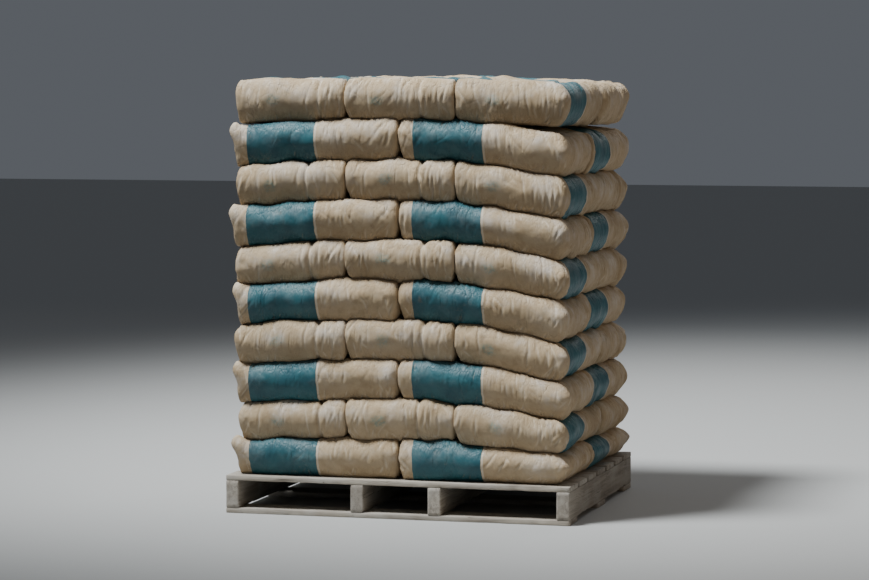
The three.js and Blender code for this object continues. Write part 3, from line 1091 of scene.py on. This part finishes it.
def sack_material():
    n = Nodes("kraft_paper_printed")
    place = n.attribute("sack_place", "Vector")
    number = n.attribute("sack_number")
    folded = n.attribute("fold")
    # Each sack cuts its own patch out of the same endless paper.
    own = n.move(place, n.scale((3.1, 1.7, 2.3), number))
    along, across, up = n.split(place)

    # Kraft: soft tone changes, fibres and specks
    kraft = n.mix(n.ramp(n.chance(number, 0.377), 0.0, 1.0), (164, 143, 112), (178, 156, 124))
    kraft = n.mix(n.ramp(n.noise(own, 5, 3), 0.3, 0.7, 0, 0.6), kraft, (188, 168, 138))
    mottle = n.noise(own, 38, 5, 0.6)
    kraft = n.mix(n.ramp(mottle, 0.35, 0.75, 0, 0.55), kraft, (150, 126, 94))
    fibres = n.noise(n.stretch(own, (0.25, 1, 1)), 420, 4, 0.7)
    kraft = n.mix(n.ramp(fibres, 0.55, 0.8, 0, 0.35), kraft, (212, 195, 168))
    kraft = n.mix(n.ramp(n.noise(own, 700, 2), 0.69, 0.78, 0, 0.5), kraft, (122, 98, 72))

    # Ink of the band, with a wavering edge and uneven cover, and worn off on the folds and in rubbed patches
    at = n.plus(along, n.times(n.minus(n.noise(own, 50, 3), 0.5), 0.005))
    end = BAND_START + BAND_WIDTH
    band = n.times(n.ramp(at, BAND_START - BAND_BLUR, BAND_START + BAND_BLUR),
                   n.ramp(at, end - BAND_BLUR, end + BAND_BLUR, 1, 0))
    cover = n.ramp(n.noise(own, 130, 5, 0.7), 0.26, 0.40, 0.90, 1.0)
    rubbed = n.times(n.ramp(n.noise(own, 16, 5, 0.65), 0.60, 0.72),
                     n.ramp(n.noise(own, 190, 4, 0.6), 0.40, 0.60))
    worn = n.times(n.ramp(folded, 0.45, 1.0, 0, 0.30), n.ramp(n.noise(own, 260, 3), 0.35, 0.55))
    worn = n.math("MAXIMUM", worn, n.times(rubbed, 0.20))
    ink = n.times(band, n.minus(cover, worn, True))
    teal = n.mix(n.ramp(n.noise(own, 14, 3), 0.3, 0.7), (34, 80, 90), (45, 97, 105))
    teal = n.mix(n.ramp(fibres, 0.5, 0.8, 0, 0.20), teal, (66, 122, 128))
    # A thin pale line follows the band.
    line = n.times(n.ramp(at, end, end + 0.002), n.ramp(at, end + 0.006, end + 0.009, 1, 0))
    paper = n.mix(n.times(line, 0.55), kraft, (218, 208, 190))

    # A small worn spot of the same ink on the banded end, where the small print of such sacks is
    spread = n.minus(n.chance(number, 0.618), 0.5)
    off_across = n.plus(n.plus(across, -0.060), n.times(spread, 0.040))
    off_up = n.times(n.plus(n.plus(up, -0.002), n.times(spread, -0.014)), 1.3)
    off = n.math("SQRT", n.plus(n.square(off_up), n.square(off_across)))
    off = n.plus(off, n.times(n.noise(own, 34, 4, 0.7), 0.046))
    spot = n.times(n.ramp(off, 0.036, 0.056, 1, 0), n.ramp(along, 0.012, 0.016, 1, 0))
    spot = n.times(spot, n.ramp(n.noise(own, 120, 4, 0.7), 0.38, 0.62, 0.1, 1.0))
    paper = n.mix(n.times(spot, 0.50), paper, (92, 142, 138))

    # Folds show paler, where the paper has whitened. The raised ears count with the folds, so they show
    # paler too: partly whitened paper and partly a painted highlight on the corners that stick up.
    paper = n.mix(n.ramp(folded, 0.25, 0.9, 0, 0.35), paper, (220, 208, 188))
    colour = n.mix(ink, paper, teal)
    # Pale dust on the upper parts, less on the ink, and a few brown stains. The dust is partly real and
    # partly painted light: its rise with height paints the upper half of each sack paler and the lower half
    # darker, as light from above would.
    dust = n.times(n.ramp(n.noise(own, 9, 6, 0.65), 0.40, 0.74), n.ramp(mottle, 0.3, 0.65, 0.3, 1.0))
    # Painted light besides dust: paler towards each sack's top and darker towards its bottom
    settled_dust_and_painted_light = n.times(n.ramp(up, -0.045, 0.040, 0.15, 1.0), n.minus(1.0, n.times(ink, 0.75)))
    colour = n.mix(n.times(n.times(dust, settled_dust_and_painted_light), 0.65), colour, (216, 211, 204))
    colour = n.mix(n.ramp(n.noise(own, 23, 4, 0.6), 0.66, 0.76, 0, 0.28), colour, (120, 98, 76))

    # Relief: crossing creases of crumpled paper, upright crimps near the long edges, pleats and fibres
    crumpled = 0.0
    for size, width, share in ((9, 0.05, 1.0), (22, 0.08, 0.45), (48, 0.12, 0.3)):
        bend = n.scale(n.noise(own, size * 0.6, 2.0, 0.5, output=1), 0.25 / size)
        creases = n.valley(n.cell_edges(n.move(n.stretch(own, (1, 1, 0.6)), bend), size), width)
        patchy = n.ramp(n.noise(own, size * 0.7, 2), 0.46, 0.62, 0.0, share)
        crumpled = n.plus(n.times(creases, patchy), crumpled)
    edges = n.ramp(n.math("ABSOLUTE", up), 0.016, 0.052, 0.10, 1.0)
    crimps = n.off_middle(n.noise(n.stretch(own, (1, 1, 0.12)), 90, 1, 0.5, 0.3))
    crimps = n.times(n.valley(crimps, 0.12), edges)
    pleats = n.off_middle(n.noise(n.stretch(own, (1, 1, 0.13)), 32, 2, 0.4, 0.2))
    pleats = n.times(n.valley(pleats, 0.07), n.ramp(n.noise(own, 11, 2), 0.44, 0.60))
    normal = n.bump(n.noise(own, 30, 3, 0.5), 0.2, 0.0020)
    normal = n.groove(crimps, 0.7, 0.0014, normal)
    normal = n.groove(pleats, 0.7, 0.0018, normal)
    normal = n.groove(crumpled, 0.6, 0.0014, normal)
    normal = n.bump(fibres, 0.25, 0.0002, normal)
    roughness = n.minus(n.ramp(mottle, 0.2, 0.8, 0.72, 0.90), n.times(ink, 0.28))
    return n.finish(colour, roughness, normal, Specular_IOR_Level=0.35)


def wood_material():
    n = Nodes("weathered_wood")
    place = n.attribute("plank_place", "Vector")
    number = n.attribute("plank_number")
    own = n.move(place, n.scale((1.37, 0.53, 0.71), number))
    _, across, up = n.split(own)

    # Grain: stretched streaks, and growth rings round a pith that lies beside the plank
    grain = n.noise(n.stretch(own, (3, 60, 60)), 1.0, 6, 0.65, 0.4)
    fine = n.noise(n.stretch(own, (12, 420, 420)), 1.0, 4, 0.7)
    bend = n.times(n.noise(n.stretch(own, (2.2, 9, 9)), 1.0, 2), 0.05)
    pith = n.plus(n.square(n.plus(n.plus(across, bend), 0.07)), n.square(n.plus(up, bend)))
    late = n.ramp(n.math("SINE", n.times(n.math("SQRT", pith), 1900.0)), 0.1, 1.0)
    wood = n.mix(n.ramp(n.chance(number, 0.6180), 0.0, 1.0), (156, 149, 138), (182, 173, 158))
    wood = n.mix(n.ramp(grain, 0.35, 0.68), wood, (132, 124, 114))
    wood = n.mix(n.times(late, 0.28), wood, (104, 92, 78))
    wood = n.mix(n.ramp(fine, 0.55, 0.8, 0, 0.5), wood, (190, 183, 170))
    # Grey weathering, dirt and darker splits along the grain
    wood = n.mix(n.ramp(n.noise(own, 7, 4, 0.6), 0.42, 0.68, 0, 0.5), wood, (176, 172, 164))
    wood = n.mix(n.ramp(n.noise(own, 28, 5, 0.7), 0.58, 0.74, 0, 0.45), wood, (84, 76, 66))
    splits = n.off_middle(n.noise(n.stretch(own, (5, 110, 110)), 1.0, 2, 0.4))
    splits = n.times(n.ramp(splits, 0.0, 0.012, 1, 0),
                     n.ramp(n.noise(n.stretch(own, (3, 20, 20)), 1.0, 2), 0.52, 0.60))
    wood = n.mix(n.times(splits, 0.85), wood, (52, 46, 40))

    # Saw marks run across the grain.
    saw = n.noise(n.stretch(own, (240, 6, 6)), 1.0, 2, 0.5)
    normal = n.bump(grain, 0.5, 0.0012)
    normal = n.bump(saw, 0.18, 0.0006, normal)
    normal = n.bump(fine, 0.4, 0.0005, normal)
    normal = n.groove(splits, 0.7, 0.0016, normal)
    return n.finish(wood, n.ramp(grain, 0.3, 0.7, 0.80, 0.94), normal, Specular_IOR_Level=0.25)


def nail_material():
    n = Nodes("rusty_steel")
    rust = n.noise(n.add("NewGeometry").outputs["Position"], 260, 4, 0.6)
    colour = n.mix(n.ramp(rust, 0.4, 0.6), (92, 88, 84), (98, 62, 42))
    return n.finish(colour, n.ramp(rust, 0.35, 0.65, 0.45, 0.80), n.bump(rust, 0.4, 0.0003), Metallic=0.6)


# Stage: floor, light and camera

FLOOR_HALF_WIDTH = 30
CAMERA_PLACE = (2.85, -10.4, 1.5)
CAMERA_LENS = 128


def aim(piece, place, target):
    piece.location = place
    piece.rotation_euler = (Vector(target) - Vector(place)).to_track_quat("-Z", "Y").to_euler()


def add_lamp(name, kind, place, target, power, colour, **settings):
    data = bpy.data.lights.new(name, kind)
    data.energy = power
    data.color = colour
    for key, value in settings.items():
        setattr(data, key, value)
    aim(add_object(name, data), place, target)


def make_stage():
    half = FLOOR_HALF_WIDTH
    corners = [(-half, -half, 0), (half, -half, 0), (half, half, 0), (-half, half, 0)]
    material = Nodes("pale_floor").finish(srgb(174, 174, 172), 0.8)
    floor = add_mesh("floor", corners, [(0, 1, 2, 3)], material)

    world = bpy.data.worlds.new("studio")
    bpy.context.scene.world = world
    world.use_nodes = True
    background = world.node_tree.nodes["Background"]
    background.inputs["Color"].default_value = srgb(218, 226, 238)
    background.inputs["Strength"].default_value = 0.15

    # A large soft lamp high in front, which lights the load and the floor round it, and two weak ones
    add_lamp("key", "SPOT", (-2.9, -2.9, 9.2), (0.5, 1.9, 0.0), 9400, (0.93, 0.97, 1.0),
             shadow_soft_size=1.3, spot_size=math.radians(50), spot_blend=1.0)
    add_lamp("fill", "AREA", (4.2, -1.8, 1.6), (0, 0, 0.7), 14, (1.0, 0.74, 0.46),
             shape="RECTANGLE", size=2.0, size_y=2.0)
    add_lamp("back", "AREA", (1.0, 4.8, 4.0), (0, 0, 0.9), 60, (1.0, 0.98, 0.95),
             shape="RECTANGLE", size=3.0, size_y=3.0)


def make_camera():
    data = bpy.data.cameras.new("camera")
    data.lens = CAMERA_LENS
    camera = add_object("camera", data)
    aim(camera, CAMERA_PLACE, (0.0, 0.0, (cad_low[2] + cad_high[2]) / 2))
    bpy.context.scene.camera = camera


make_camera()
make_stage()
make_pallet(wood_material())
make_nails(nail_material())
masters = {"pressed": [], "free": []}
for settings in SIM_SETTINGS:
    masters["free" if settings[-1] else "pressed"].append(simulate_sack(*settings))
all_sacks = list_sacks()
paper_material = sack_material()
for one in all_sacks:
    make_sack(one, all_sacks, masters, paper_material)
